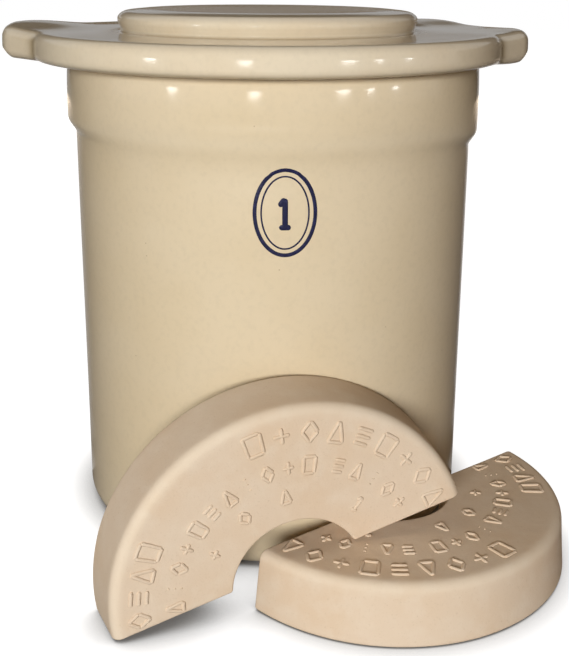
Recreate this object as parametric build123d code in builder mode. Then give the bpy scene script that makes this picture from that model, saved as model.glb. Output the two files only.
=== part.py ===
from build123d import *
import os
from math import asin, atan, cos, degrees, radians, sin, sqrt, tan

# A one-gallon stoneware pickling crock with a flat two-lug lid and the two halves of its weight.
# Millimetres, +Z up. The origin is the centre of the crock's foot, and -Y is the front.

# Crock: straight jiggered wall with a thick band round the mouth
rim_height = 214.0
mouth_radius = 83.6
wall = 8.0
collar_step = 3.4
collar_depth = 30.6
collar_slope = 8.0
collar_round = 5.0
step_round = 4.0
foot_flare = 2.7
inside_draft = 0.8
floor_thickness = 12.0
floor_round = 14.0
heel_round = 8.0
rim_outer_round = 6.5
rim_inner_round = 3.5

# Lid: flange with two lugs, a raised disc hollowed from below, and a ring that drops into the mouth.
# A lug's side faces lug_side_turn degrees round from the front, and the lid lies turned by lid_turn.
touch_gap = 0.3
flange_overhang = 11.7
flange_thickness = 11.9
flange_top_round = 4.5
flange_bottom_round = 3.5
lug_overhang = 13.8
lug_side_turn = 50.0
lug_tip_half_width = 10.0
lug_tip_round = 22.0
lug_root_round = 10.0
lug_rooting = 40.0
disc_inset = 15.5
disc_height = 9.2
disc_round_share = 0.45
disc_undercut = 1.6
disc_belly_share = 0.45
disc_belly_round = 3.5
ring_clearance = 3.6
lid_slip_share = 0.75
lid_turn = 2.0
ring_width = 8.0
ring_depth = 7.0
ring_round = 2.5
recess_wall = 8.1
recess_roof = 12.0
recess_round = 6.0

# Weights: half rings pressed in a tapered mould, each stopping short of the centre line
weight_clearance = 2.2
weight_draft = 3.0
weight_bore = 28.2
weight_thickness = 27.3
half_gap = 7.4
face_round = 4.5
back_round = 1.5
bore_round = 1.2
cut_round = 1.2

# Where the weights rest. Turns are in degrees, slips run along a weight's straight face.
flat_turn = 37.1
flat_slip = 0.3
flat_stand = 0.6
lean_turn = 18.4
lean_slip = 28.5

body_radius_top = mouth_radius + wall
body_radius_foot = body_radius_top + foot_flare
collar_radius = body_radius_top + collar_step
seat_height = rim_height + touch_gap
collar_foot = rim_height - collar_depth
ring_outer = mouth_radius - ring_clearance
lid_slip = ring_clearance * lid_slip_share
flange_radius = collar_radius + flange_overhang
lug_reach = flange_radius + lug_overhang
disc_radius = mouth_radius - disc_inset
recess_radius = disc_radius - recess_wall
weight_radius = mouth_radius - weight_clearance
face_radius = weight_radius - weight_draft


def corner(points, place):
    """Returns the drawn corner nearest to a place given in the sketch's own axes."""
    return points.sort_by_distance(Vector(*place))[0]


# Crock

with BuildPart() as crock:
    with BuildSketch(Plane.XZ) as wall_section:
        with BuildLine():
            Polyline(
                (0, 0),
                (body_radius_foot, 0),
                (body_radius_top, collar_foot),
                (collar_radius, collar_foot + collar_slope),
                (collar_radius, rim_height),
                (mouth_radius, rim_height),
                (mouth_radius - inside_draft, floor_thickness),
                (0, floor_thickness),
                close=True,
            )
        make_face()
        for place, radius in (
            ((body_radius_foot, 0), heel_round),
            ((body_radius_top, collar_foot), step_round),
            ((collar_radius, collar_foot + collar_slope), collar_round),
            ((collar_radius, rim_height), rim_outer_round),
            ((mouth_radius, rim_height), rim_inner_round),
            ((mouth_radius - inside_draft, floor_thickness), floor_round),
        ):
            fillet(corner(wall_section.vertices(), place), radius)
    revolve(axis=Axis.Z)
crock.part.label = "crock"


# Lid

lug_tip = Vector(lug_reach, lug_tip_half_width)
lug_side = Vector(-cos(radians(lug_side_turn)), sin(radians(lug_side_turn)))
lug_drop = -lug_tip.dot(lug_side)
lug_side_length = lug_drop - sqrt(lug_drop**2 - lug_tip.length**2 + flange_radius**2)
lug_root = lug_tip + lug_side * lug_side_length
lug_inner = lug_tip + Vector(-lug_rooting, lug_rooting * tan(radians(lug_side_turn)))

lid_x = (cos(radians(lid_turn)), sin(radians(lid_turn)), 0)
lid_seat_plane = Plane(origin=(-lid_slip, 0, seat_height), x_dir=lid_x, z_dir=(0, 0, 1))
lid_axis = Axis((-lid_slip, 0, 0), (0, 0, 1))
lid_section_plane = Plane(origin=(-lid_slip, 0, 0), x_dir=(1, 0, 0), z_dir=(0, -1, 0))
flange_top = seat_height + flange_thickness
disc_top = flange_top + disc_height
recess_top = disc_top - recess_roof

with BuildPart() as lid:
    with BuildSketch(lid_seat_plane) as flange_outline:
        Circle(flange_radius)
        for side_x in (-1, 1):
            with BuildLine():
                Polyline(
                    (side_x * lug_inner.X, -lug_inner.Y),
                    (side_x * lug_tip.X, -lug_tip.Y),
                    (side_x * lug_tip.X, lug_tip.Y),
                    (side_x * lug_inner.X, lug_inner.Y),
                    close=True,
                )
            make_face()
        for side_x in (-1, 1):
            for side_y in (-1, 1):
                tip = (side_x * lug_tip.X, side_y * lug_tip.Y)
                root = (side_x * lug_root.X, side_y * lug_root.Y)
                fillet(corner(flange_outline.vertices(), tip), lug_tip_round)
                fillet(corner(flange_outline.vertices(), root), lug_root_round)
    extrude(amount=flange_thickness)
    fillet(lid.faces().sort_by(Axis.Z)[-1].edges(), flange_top_round)
    fillet(lid.faces().sort_by(Axis.Z)[0].edges(), flange_bottom_round)
    with BuildSketch(lid_section_plane) as disc_section:
        with BuildLine():
            Polyline(
                (0, flange_top),
                (disc_radius - disc_undercut, flange_top),
                (disc_radius, flange_top + disc_height * disc_belly_share),
                (disc_radius, disc_top),
                (0, disc_top),
                close=True,
            )
        make_face()
        fillet(corner(disc_section.vertices(), (disc_radius, disc_top)), disc_height * disc_round_share)
        belly = (disc_radius, flange_top + disc_height * disc_belly_share)
        fillet(corner(disc_section.vertices(), belly), disc_belly_round)
    revolve(axis=lid_axis)
    with BuildSketch(lid_section_plane) as ring_section:
        with BuildLine():
            Polyline(
                (0, seat_height),
                (0, seat_height - ring_depth),
                (ring_outer, seat_height - ring_depth),
                (ring_outer, seat_height),
                close=True,
            )
        make_face()
        fillet(corner(ring_section.vertices(), (ring_outer, seat_height - ring_depth)), ring_round)
    revolve(axis=lid_axis)
    with BuildSketch(lid_section_plane) as recess_section:
        with BuildLine():
            Polyline(
                (0, seat_height - ring_depth),
                (ring_outer - ring_width, seat_height - ring_depth),
                (recess_radius, recess_top),
                (0, recess_top),
                close=True,
            )
        make_face()
        fillet(corner(recess_section.vertices(), (recess_radius, recess_top)), recess_round)
    revolve(axis=lid_axis, mode=Mode.SUBTRACT)
lid.part.label = "lid"


# The half ring that both weights are copies of: straight face at Y = half_gap, marked face on top

with BuildPart() as half_ring:
    with BuildSketch(Plane.XZ) as ring_profile:
        with BuildLine():
            Polyline(
                (weight_bore, 0),
                (weight_radius, 0),
                (face_radius, weight_thickness),
                (weight_bore, weight_thickness),
                close=True,
            )
        make_face()
        for place, radius in (
            ((face_radius, weight_thickness), face_round),
            ((weight_radius, 0), back_round),
            ((weight_bore, weight_thickness), bore_round),
            ((weight_bore, 0), bore_round),
        ):
            fillet(corner(ring_profile.vertices(), place), radius)
    revolve(axis=Axis.Z)
    split(bisect_by=Plane.XZ.offset(-half_gap), keep=Keep.BOTTOM)
    fillet(half_ring.faces().filter_by(Axis.Y).edges(), cut_round)


# Flat weight: lies on the table with its straight face towards the crock

flat_along = Vector(-cos(radians(flat_turn)), -sin(radians(flat_turn)), 0)
flat_out = Vector(sin(radians(flat_turn)), -cos(radians(flat_turn)), 0)
flat_centre = flat_out * (body_radius_foot + flat_stand - half_gap) + flat_along * flat_slip
flat_plane = Plane(origin=flat_centre, x_dir=flat_along, z_dir=(0, 0, 1))

with BuildPart() as weight_flat:
    with Locations(flat_plane.location):
        add(half_ring.part)
weight_flat.part.label = "weight_flat"


# Leaning weight: one foot's corner on the table, the other foot on the flat weight, back to the wall.
# It leans by the slope of the wall, and rolls by the flat weight's thickness.

wall_slope = atan((body_radius_foot - body_radius_top) / collar_foot)
outer_half = sqrt(weight_radius**2 - half_gap**2)
bore_half = sqrt(weight_bore**2 - half_gap**2)
lean_roll = asin((weight_thickness + touch_gap) / (outer_half + bore_half) / cos(wall_slope))
lean_level = Vector(cos(radians(lean_turn)), sin(radians(lean_turn)), 0)
lean_out = Vector(sin(radians(lean_turn)), -cos(radians(lean_turn)), 0)
lean_up = Vector(0, 0, 1) * cos(wall_slope) - lean_out * sin(wall_slope)
lean_face = lean_out * cos(wall_slope) + Vector(0, 0, 1) * sin(wall_slope)
lean_along = lean_level * cos(lean_roll) + lean_up * sin(lean_roll)
lean_foot = lean_out * (body_radius_foot + touch_gap) - lean_level * lean_slip
trial_plane = Plane(origin=lean_foot, x_dir=lean_along, z_dir=lean_face)

with BuildPart() as lean_trial:
    with Locations(trial_plane.location):
        add(half_ring.part)
lean_lift = -lean_trial.part.bounding_box().min.Z / cos(wall_slope)
lean_plane = Plane(origin=lean_foot + lean_up * lean_lift, x_dir=lean_along, z_dir=lean_face)

with BuildPart() as weight_leaning:
    with Locations(lean_plane.location):
        add(half_ring.part)
weight_leaning.part.label = "weight_leaning"


os.makedirs("parts", exist_ok=True)
export_step(crock.part, "parts/crock.step")
export_step(lid.part, "parts/lid.step")
export_step(weight_flat.part, "parts/weight_flat.step")
export_step(weight_leaning.part, "parts/weight_leaning.step")

print("leaning weight rolled by", round(degrees(lean_roll), 2), "degrees")
print("gap between the weights", round(weight_leaning.part.distance_to(weight_flat.part), 3))
print("gap, leaning weight to crock", round(weight_leaning.part.distance_to(crock.part), 3))
print("gap, flat weight to crock", round(weight_flat.part.distance_to(crock.part), 3))
print("gap, lid to crock", round(lid.part.distance_to(crock.part), 3))
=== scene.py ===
"""A one-gallon stoneware pickling crock with its lid and the two halves of its weight.

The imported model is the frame: metres, +Z up, -Y to the front, the crock's foot on Z = 0.
Each sub-assembly is a class that keeps its sizes in millimetres, works its surfaces out as
whole arrays and dresses them. Millimetres turn to metres where a mesh is made.
"""
import logging
from collections.abc import Callable
from dataclasses import dataclass
from enum import Enum
from functools import partial
from math import asin, atan, cos, pi, radians, sin, sqrt, tan

import bpy
import numpy as np
from mathutils import Matrix, Vector


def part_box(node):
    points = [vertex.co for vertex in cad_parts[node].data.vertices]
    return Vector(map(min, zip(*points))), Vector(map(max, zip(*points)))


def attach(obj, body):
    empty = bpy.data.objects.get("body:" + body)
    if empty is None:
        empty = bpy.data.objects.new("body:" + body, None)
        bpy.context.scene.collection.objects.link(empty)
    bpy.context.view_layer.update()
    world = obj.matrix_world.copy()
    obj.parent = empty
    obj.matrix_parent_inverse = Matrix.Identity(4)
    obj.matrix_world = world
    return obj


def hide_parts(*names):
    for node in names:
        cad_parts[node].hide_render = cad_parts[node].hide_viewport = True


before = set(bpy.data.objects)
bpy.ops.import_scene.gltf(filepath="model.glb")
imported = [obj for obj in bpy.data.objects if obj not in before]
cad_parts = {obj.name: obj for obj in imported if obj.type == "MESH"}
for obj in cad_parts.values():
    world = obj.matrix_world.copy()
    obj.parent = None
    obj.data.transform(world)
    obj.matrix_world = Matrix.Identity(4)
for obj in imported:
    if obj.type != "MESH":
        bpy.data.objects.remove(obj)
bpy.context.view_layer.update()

log = logging.getLogger("crock")

# A millimetre in metres, and a cubic millimetre in cubic centimetres
MM = 0.001
CUBIC_CM = 0.001


class Slot(Enum):
    """The record's material slots."""

    GLAZE = "glazed_stoneware"
    BISQUE = "bisque_stoneware"
    COBALT = "cobalt_mark"


class Motif(Enum):
    """The plain raised figures that fill the rows on a weight."""

    LOZENGE = "lozenge"
    SQUARE = "square"
    TRIANGLE = "triangle"
    RUNGS = "rungs"
    PLUS = "plus"
    DOTS = "dots"
    ONE = "one"


# Numbers for arrays

def unit(vectors: np.ndarray) -> np.ndarray:
    """Returns the vectors at length one."""
    return vectors / np.maximum(np.linalg.norm(vectors, axis=-1, keepdims=True), 1e-12)


def smooth_step(low: float, high: float, x: np.ndarray) -> np.ndarray:
    """Returns 0 below low, 1 above high and 3t^2 - 2t^3 between them."""
    t = np.clip((x - low) / (high - low), 0.0, 1.0)
    return t * t * (3.0 - 2.0 * t)


def off_axis(points: np.ndarray) -> np.ndarray:
    """Returns each point's distance from the Z axis."""
    return np.hypot(points[..., 0], points[..., 1])


def outwards(points: np.ndarray) -> np.ndarray:
    """Returns the level direction from the Z axis to each point, at length one."""
    return unit(points * (1.0, 1.0, 0.0))


def rounded_path(corners: list, radii: list, step: float, turn_step: float = radians(9.0)) -> np.ndarray:
    """Draws straight runs joined by tangent arcs.

    An arc starts radius * tan(half the turn) before its corner. A point on it is the arc's
    centre plus the radius times the start direction turned by equal angles.

    Args:
        corners: Points in order, each a pair in millimetres.
        radii: A radius for each corner, 0 at both ends and where the corner stays sharp.
        step: The longest distance between points on a straight run, in millimetres.
        turn_step: The largest turn between points on an arc, in radians.

    Returns:
        The points as an array with a row for each.
    """
    corner = np.array(corners, float)
    pieces = [corner[:1]]
    for here, before, after, radius in zip(corner[1:-1], corner[:-2], corner[2:], radii[1:-1]):
        arrive, leave = unit(here - before), unit(after - here)
        turn = np.arctan2(arrive[0] * leave[1] - arrive[1] * leave[0], arrive @ leave)
        cut = radius * abs(tan(turn / 2.0))
        start = here - arrive * cut
        side = np.sign(turn) * np.array([-arrive[1], arrive[0]])
        centre = start + side * radius
        count = max(2, int(np.ceil(abs(turn) / turn_step)) + 1) if radius else 1
        angle = np.linspace(0.0, turn, count)
        spoke = start - centre
        across = np.array([-spoke[1], spoke[0]])
        arc = centre + spoke * np.cos(angle)[:, None] + across * np.sin(angle)[:, None]
        pieces.append(arc if radius else here[None])
    pieces.append(corner[-1:])
    runs = [pieces[0]]
    for piece in pieces[1:]:
        last = runs[-1][-1]
        count = max(1, int(np.ceil(np.linalg.norm(piece[0] - last) / step)))
        share = np.linspace(0.0, 1.0, count + 1)[1:-1, None]
        runs += [last + (piece[0] - last) * share, piece]
    return np.concatenate(runs)


# Surfaces

@dataclass(frozen=True)
class Mark:
    """A value that a finish reads: how wide it is, in millimetres, and how strong in its middle."""

    width: float
    strength: float = 1.0

    def at(self, distance: np.ndarray) -> np.ndarray:
        """Returns strength * e^-(d / width)^2 at the distance d."""
        return self.strength * np.exp(-(distance / self.width) ** 2)


@dataclass
class Skin:
    """A closed surface: points in millimetres, and the corner numbers of its quads and triangles."""

    points: np.ndarray
    quads: np.ndarray
    triangles: np.ndarray

    def volume(self) -> float:
        """Returns the signed volume, which is above zero where faces point outwards."""
        fans = [self.quads[:, [0, 1, 2]], self.quads[:, [0, 2, 3]], self.triangles]
        a, b, c = (self.points[np.concatenate(fans)[:, i]] for i in range(3))
        return float(np.einsum("ij,ij->i", a, np.cross(b, c)).sum() / 6.0)

    def outward(self) -> "Skin":
        """Returns the surface with its faces turned to point outwards."""
        if self.volume() >= 0.0:
            return self
        return Skin(self.points, self.quads[:, ::-1], self.triangles[:, ::-1])

    def normals(self) -> np.ndarray:
        """Sums the cross products of the faces at each point.

        Returns:
            The unit normal at each point.
        """
        total = np.zeros_like(self.points)
        for faces, (a, b, c, d) in ((self.quads, (0, 2, 1, 3)), (self.triangles, (0, 1, 0, 2))):
            corner = self.points[faces]
            across = np.cross(corner[:, b] - corner[:, a], corner[:, d] - corner[:, c])
            for i in range(faces.shape[1]):
                np.add.at(total, faces[:, i], across)
        return unit(total)

    def over_faces(self, values: np.ndarray, choose: Callable) -> np.ndarray:
        """Picks one of the values at each face's corners.

        Args:
            values: A value for each point.
            choose: What picks it, np.min or np.max.

        Returns:
            A value for each face, quads first.
        """
        return np.concatenate([choose(values[faces], axis=1) for faces in (self.quads, self.triangles)])


def loft(rings: np.ndarray, poles: tuple | None = None) -> Skin:
    """Joins rings of points into one closed skin.

    Point j of ring i is joined to point j + 1 of its ring and to point j of ring i + 1. With
    poles, a fan of triangles closes each end. Without, the last ring is joined to the first.

    Args:
        rings: An array of rings by points by 3, in millimetres.
        poles: The first and the last end's middle point, or None.

    Returns:
        The skin, with its faces outwards.
    """
    count, around, _ = rings.shape
    points = rings.reshape(-1, 3)
    i = np.arange(count - 1 if poles is not None else count)[:, None]
    j = np.arange(around)[None, :]
    here, above = i * around, (i + 1) % count * around
    after = (j + 1) % around
    quads = np.stack([here + j, here + after, above + after, above + j], -1).reshape(-1, 4)
    triangles = np.zeros((0, 3), int)
    if poles is not None:
        j, after = j[0], after[0]
        first, last = len(points), len(points) + 1
        end = (count - 1) * around
        low = np.stack([np.full(around, first), after, j], 1)
        high = np.stack([np.full(around, last), end + j, end + after], 1)
        points = np.concatenate([points, np.array(poles, float)])
        triangles = np.concatenate([low, high])
    return Skin(points, quads, triangles).outward()


def turned(section: np.ndarray, circle: np.ndarray) -> np.ndarray:
    """Turns a section about the Z axis.

    A point (r, z) of the section gives a ring of points (r c, r s, z), one for each (c, s).

    Args:
        section: Radii and heights, a row for each point.
        circle: Directions of length one, a row for each point of a ring.

    Returns:
        An array of rings by points by 3.
    """
    flat = section[:, :1, None] * circle[None]
    return np.concatenate([flat, np.broadcast_to(section[:, 1:, None], (*flat.shape[:2], 1))], -1)


def between(first: np.ndarray, last: np.ndarray, count: int) -> np.ndarray:
    """Returns count rings that lie evenly between the first and the last."""
    share = np.linspace(0.0, 1.0, count + 2)[1:-1, None, None]
    return first[None] + (last - first)[None] * share


def joined(skins: list) -> Skin:
    """Joins closed skins into one.

    Args:
        skins: The skins.

    Returns:
        One skin with all their points and faces.
    """
    starts = np.cumsum([0] + [len(s.points) for s in skins[:-1]])
    return Skin(
        np.concatenate([s.points for s in skins]),
        np.concatenate([s.quads + n for s, n in zip(skins, starts)]),
        np.concatenate([s.triangles + n for s, n in zip(skins, starts)]),
    )


def waves(points: np.ndarray, lengths: tuple, seed: int, terms: int = 7, gain: float = 1.6) -> np.ndarray:
    """Works out a gentle unevenness between 0 and 1.

    The mean of sine waves in seeded directions, each with a wavelength between the two given
    and a seeded phase, is raised by the gain, halved and lifted to lie between 0 and 1.

    Args:
        points: The points, in millimetres.
        lengths: The shortest and the longest wavelength, in millimetres.
        seed: The seed of the directions, wavelengths and phases.
        terms: The number of waves.
        gain: How much the mean is raised, as waves seldom agree.

    Returns:
        A value for each point.
    """
    draw = np.random.default_rng(seed)
    direction = unit(draw.normal(size=(terms, 3)))
    length = draw.uniform(*lengths, size=terms)
    phase = draw.uniform(0.0, 2.0 * pi, size=terms)
    total = np.sin(points @ (direction / length[:, None] * 2.0 * pi).T + phase).mean(1)
    return np.clip(0.5 + 0.5 * total * gain, 0.0, 1.0)


def make_piece(
    name: str, skin: Skin, body: str, materials: list, which: np.ndarray | None = None,
    marks: dict | None = None,
) -> bpy.types.Object:
    """Makes a Blender object from a skin and lets it ride on its body.

    Args:
        name: The piece's name.
        skin: Its surface, in millimetres.
        body: The body that it rides on.
        materials: Its materials in order.
        which: The material's number for each face, quads first, or None for the first material.
        marks: Named values for each point, which its material reads.

    Returns:
        The object.
    """
    mesh = bpy.data.meshes.new(name)
    mesh.vertices.add(len(skin.points))
    mesh.vertices.foreach_set("co", (skin.points * MM).astype(np.float32).ravel())
    loops = np.concatenate([skin.quads.ravel(), skin.triangles.ravel()]).astype(np.int32)
    sizes = np.concatenate([np.full(len(skin.quads), 4), np.full(len(skin.triangles), 3)])
    mesh.loops.add(len(loops))
    mesh.loops.foreach_set("vertex_index", loops)
    mesh.polygons.add(len(sizes))
    mesh.polygons.foreach_set("loop_start", np.concatenate([[0], np.cumsum(sizes)[:-1]]).astype(np.int32))
    mesh.polygons.foreach_set("use_smooth", np.ones(len(sizes), bool))
    if which is not None:
        mesh.polygons.foreach_set("material_index", which.astype(np.int32))
    for key, values in (marks or {}).items():
        layer = mesh.attributes.new(key, "FLOAT", "POINT")
        layer.data.foreach_set("value", values.astype(np.float32))
    for material in materials:
        mesh.materials.append(material)
    mesh.update(calc_edges=True)
    mesh.validate()
    piece = bpy.data.objects.new(name, mesh)
    bpy.context.scene.collection.objects.link(piece)
    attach(piece, body)
    triangles = 2 * len(skin.quads) + len(skin.triangles)
    volume = skin.volume() * CUBIC_CM
    log.info("%s: %d points, %d triangles, %.1f cm3", name, len(skin.points), triangles, volume)
    return piece


def against_node(piece: bpy.types.Object, node: str) -> None:
    """Reports how far a piece's box lies from that of the node it stands for, in millimetres.

    Args:
        piece: The piece.
        node: The node's name.
    """
    points = np.zeros(len(piece.data.vertices) * 3, np.float32)
    piece.data.vertices.foreach_get("co", points)
    points = points.reshape(-1, 3)
    low, high = (np.array(c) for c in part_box(node))
    off = np.concatenate([points.min(0) - low, points.max(0) - high]) / MM
    log.info("%s against node %s: %s mm", piece.name, node, np.round(off, 2))


# Materials

def linear(code: str) -> tuple:
    """Turns an sRGB colour into linear light by the sRGB curve.

    Args:
        code: The colour as a hex code.

    Returns:
        Red, green, blue and an alpha of 1.
    """
    value = np.array([int(code[i:i + 2], 16) for i in (1, 3, 5)]) / 255.0
    value = np.where(value <= 0.04045, value / 12.92, ((value + 0.055) / 1.055) ** 2.4)
    return (*value.tolist(), 1.0)


def add_node(
    tree: bpy.types.NodeTree, kind: str, settings: dict | None = None, inputs: dict | None = None
) -> bpy.types.Node:
    """Adds a node with its settings and links.

    Args:
        tree: The tree that it goes into.
        kind: The node's type name.
        settings: Its properties by name.
        inputs: Its inputs by name or number, each a value, an output, or a node whose first
            output is meant.

    Returns:
        The node.
    """
    node = tree.nodes.new(kind)
    for key, value in (settings or {}).items():
        setattr(node, key, value)
    for key, value in (inputs or {}).items():
        if isinstance(value, bpy.types.Node):
            value = value.outputs[0]
        if isinstance(value, bpy.types.NodeSocket):
            tree.links.new(value, node.inputs[key])
        else:
            node.inputs[key].default_value = value
    return node


def new_material(name: str) -> tuple:
    """Makes an empty material.

    Args:
        name: Its name.

    Returns:
        The material, its node tree and its output node.
    """
    material = bpy.data.materials.new(name)
    material.use_nodes = True
    material.node_tree.nodes.clear()
    return material, material.node_tree, add_node(material.node_tree, "ShaderNodeOutputMaterial")


@dataclass(frozen=True)
class Mottle:
    """Soft patches that lie fixed in a piece: a noise, of which a span is stretched to two levels.

    The patches are about size millimetres across. Detail is how many finer octaves lie over
    them, and roughness how strong those are. Outside the span the level stays.
    """

    size: float
    detail: float = 2.0
    roughness: float = 0.5
    span: tuple = (0.0, 1.0)
    levels: tuple = (0.0, 1.0)

    def add(self, tree: bpy.types.NodeTree, place: bpy.types.NodeSocket) -> bpy.types.Node:
        """Adds the patches to a material.

        Args:
            tree: The material's tree.
            place: The place in the piece.

        Returns:
            A node whose first output is the level.
        """
        noise = add_node(tree, "ShaderNodeTexNoise", {"noise_dimensions": "3D"}, {
            "Vector": place, "Scale": 1.0 / (self.size * MM), "Detail": self.detail,
            "Roughness": self.roughness,
        })
        return add_node(tree, "ShaderNodeMapRange", {"clamp": True}, {
            "Value": noise, "From Min": self.span[0], "From Max": self.span[1],
            "To Min": self.levels[0], "To Max": self.levels[1],
        })


def layered(tree: bpy.types.NodeTree, ground: str, covers: tuple) -> bpy.types.NodeSocket:
    """Lays colours over one another.

    Args:
        tree: The material's tree.
        ground: The lowest colour, as a hex code.
        covers: From below, pairs of how far a colour covers and its hex code.

    Returns:
        The colour that shows.
    """
    colour = linear(ground)
    for share, code in covers:
        inputs = {0: share, 6: colour, 7: linear(code)}
        colour = add_node(tree, "ShaderNodeMix", {"data_type": "RGBA"}, inputs).outputs[2]
    return colour


def bumped(tree: bpy.types.NodeTree, place: bpy.types.NodeSocket, layers: tuple) -> bpy.types.NodeSocket:
    """Makes a surface uneven to the eye, one layer over the other.

    Args:
        tree: The material's tree.
        place: The place in the piece.
        layers: From the coarsest, pairs of a mottle and its height in millimetres.

    Returns:
        The normal that shows.
    """
    below = {}
    for mottle, height in layers:
        inputs = {"Height": mottle.add(tree, place), "Distance": height * MM, **below}
        below = {"Normal": add_node(tree, "ShaderNodeBump", None, inputs).outputs["Normal"]}
    return below["Normal"]


@dataclass(frozen=True)
class ClearGlaze:
    """Clear feldspar glaze, dipped over a cream stoneware body and fired once.

    The body's warm buff shows through a hard glass layer. The glass pools a little greener and
    deeper in hollows, and that darker colour also paints shade in creases and under the lid's
    flange. It thins to a paler line on edges and dries with a faint orange peel. Iron
    specks of about half a millimetre lie a centimetre apart.
    """

    name: str = "clear_glazed_cream_stoneware"
    body_colour: str = "#DCCBAC"
    warm_colour: str = "#D9C7A6"
    pool_and_shade_colour: str = "#A8936B"
    edge_colour: str = "#E8DCC2"
    speck_colour: str = "#8E6A44"
    grain_colour: str = "#000000"
    clouds: Mottle = Mottle(46.0, 3.0, 0.5, (0.38, 0.66))
    grain: Mottle = Mottle(2.6, 3.0, 0.6, (0.3, 0.5286), (0.04, 0.0))
    speck_pitch: float = 11.0
    speck_radii: tuple = (0.14, 0.392)
    speck_depth: float = 0.55
    sag: Mottle = Mottle(34.0, 1.0)
    sag_height: float = 0.05
    peel: Mottle = Mottle(7.0)
    peel_height: float = 0.006
    body_roughness: float = 0.42
    body_specular: float = 0.25
    glass_roughness: float = 0.10
    glass_ior: float = 1.52

    def material(self) -> bpy.types.Material:
        """Lays cloud, pooled glaze with painted shade, edge, specks and grain over the body under a clear
        coat.

        Returns:
            The material, which reads the points' pooled-glaze-and-painted-shade and edge values.
        """
        material, tree, output = new_material(self.name)
        place = add_node(tree, "ShaderNodeTexCoord").outputs["Object"]
        # This value marks pooled glaze in hollows and also paints shade in creases and under the lid's flange
        pool_and_shade = add_node(tree, "ShaderNodeAttribute", {"attribute_name": "pool_and_shade"}).outputs["Fac"]
        edge = add_node(tree, "ShaderNodeAttribute", {"attribute_name": "edge"}).outputs["Fac"]
        cells = add_node(tree, "ShaderNodeTexVoronoi", {"feature": "F1"},
                         {"Vector": place, "Scale": 1.0 / (self.speck_pitch * MM)})
        specks = add_node(tree, "ShaderNodeMapRange", {"clamp": True}, {
            "Value": cells, "From Min": self.speck_radii[0] / self.speck_pitch,
            "From Max": self.speck_radii[1] / self.speck_pitch, "To Min": self.speck_depth, "To Max": 0.0,
        })
        colour = layered(tree, self.body_colour, (
            (self.clouds.add(tree, place), self.warm_colour),
            (pool_and_shade, self.pool_and_shade_colour),
            (edge, self.edge_colour),
            (specks, self.speck_colour),
            (self.grain.add(tree, place), self.grain_colour),
        ))
        normal = bumped(tree, place, ((self.sag, self.sag_height), (self.peel, self.peel_height)))
        shader = add_node(tree, "ShaderNodeBsdfPrincipled", None, {
            "Base Color": colour, "Roughness": self.body_roughness, "Specular IOR Level": self.body_specular,
            "Normal": normal, "Coat Weight": 1.0, "Coat Roughness": self.glass_roughness,
            "Coat IOR": self.glass_ior, "Coat Normal": normal,
        })
        tree.links.new(shader.outputs["BSDF"], output.inputs["Surface"])
        return material


@dataclass(frozen=True)
class Bisque:
    """Unglazed stoneware, pressed in a plaster mould, fettled by hand and fired.

    A dry, matte, slightly sandy skin: pinkish cream with soft blotches from the kiln, pale
    dust, fine grog, and edges that are paler from wear and from a painted highlight. The grog is
    drawn at 0.9 mm, about twice its real size, so that it shows.
    """

    name: str = "pressed_bisque_stoneware"
    body_colour: str = "#DDC9B1"
    blush_colour: str = "#DBC4A9"
    dust_colour: str = "#E1D0BA"
    grog_colour: str = "#C4AE90"
    worn_and_highlight_colour: str = "#EDDFC8"
    blush: Mottle = Mottle(38.0, 2.0, 0.5, (0.40, 0.64))
    dust: Mottle = Mottle(9.0, 4.0, 0.6, (0.45, 0.75), (0.0, 0.7))
    grog: Mottle = Mottle(0.9, 2.0, 0.7, (0.60, 0.74), (0.0, 0.4))
    dimples: Mottle = Mottle(5.0)
    dimple_height: float = 0.12
    grain: Mottle = Mottle(0.9, 4.0, 0.7)
    grain_height: float = 0.05
    roughness: float = 0.86
    specular: float = 0.25

    def material(self) -> bpy.types.Material:
        """Lays blush, dust, grog and edges paler from wear and a painted highlight over the clay.

        Returns:
            The material, which reads the points' edge value.
        """
        material, tree, output = new_material(self.name)
        place = add_node(tree, "ShaderNodeTexCoord").outputs["Object"]
        edge = add_node(tree, "ShaderNodeAttribute", {"attribute_name": "edge"}).outputs["Fac"]
        colour = layered(tree, self.body_colour, (
            (self.blush.add(tree, place), self.blush_colour),
            (self.dust.add(tree, place), self.dust_colour),
            (self.grog.add(tree, place), self.grog_colour),
            # Paler edges from wear, also a painted highlight along the weights' round edges
            (edge, self.worn_and_highlight_colour),
        ))
        normal = bumped(tree, place, ((self.dimples, self.dimple_height), (self.grain, self.grain_height)))
        shader = add_node(tree, "ShaderNodeBsdfPrincipled", None, {
            "Base Color": colour, "Roughness": self.roughness, "Specular IOR Level": self.specular,
            "Normal": normal,
        })
        tree.links.new(shader.outputs["BSDF"], output.inputs["Surface"])
        return material


@dataclass(frozen=True)
class CobaltUnderglaze:
    """Cobalt and iron stain, stamped on the raw wall and sealed under the clear glaze.

    A near-black blue with thin patches where the stamp took less colour, as glossy as the wall.
    """

    name: str = "cobalt_underglaze_stamp"
    full_colour: str = "#12143A"
    thin_colour: str = "#2A2C55"
    patches: Mottle = Mottle(1.6, 3.0, 0.5, (0.5, 0.72), (0.0, 0.8))
    stain_roughness: float = 0.4
    stain_specular: float = 0.2
    glass_roughness: float = 0.08

    def material(self) -> bpy.types.Material:
        """Lays thin patches over the stain under a clear coat.

        Returns:
            The material.
        """
        material, tree, output = new_material(self.name)
        place = add_node(tree, "ShaderNodeTexCoord").outputs["Object"]
        colour = layered(tree, self.full_colour, ((self.patches.add(tree, place), self.thin_colour),))
        shader = add_node(tree, "ShaderNodeBsdfPrincipled", None, {
            "Base Color": colour, "Roughness": self.stain_roughness,
            "Specular IOR Level": self.stain_specular, "Coat Weight": 1.0,
            "Coat Roughness": self.glass_roughness,
        })
        tree.links.new(shader.outputs["BSDF"], output.inputs["Surface"])
        return material


# Raised strokes

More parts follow.
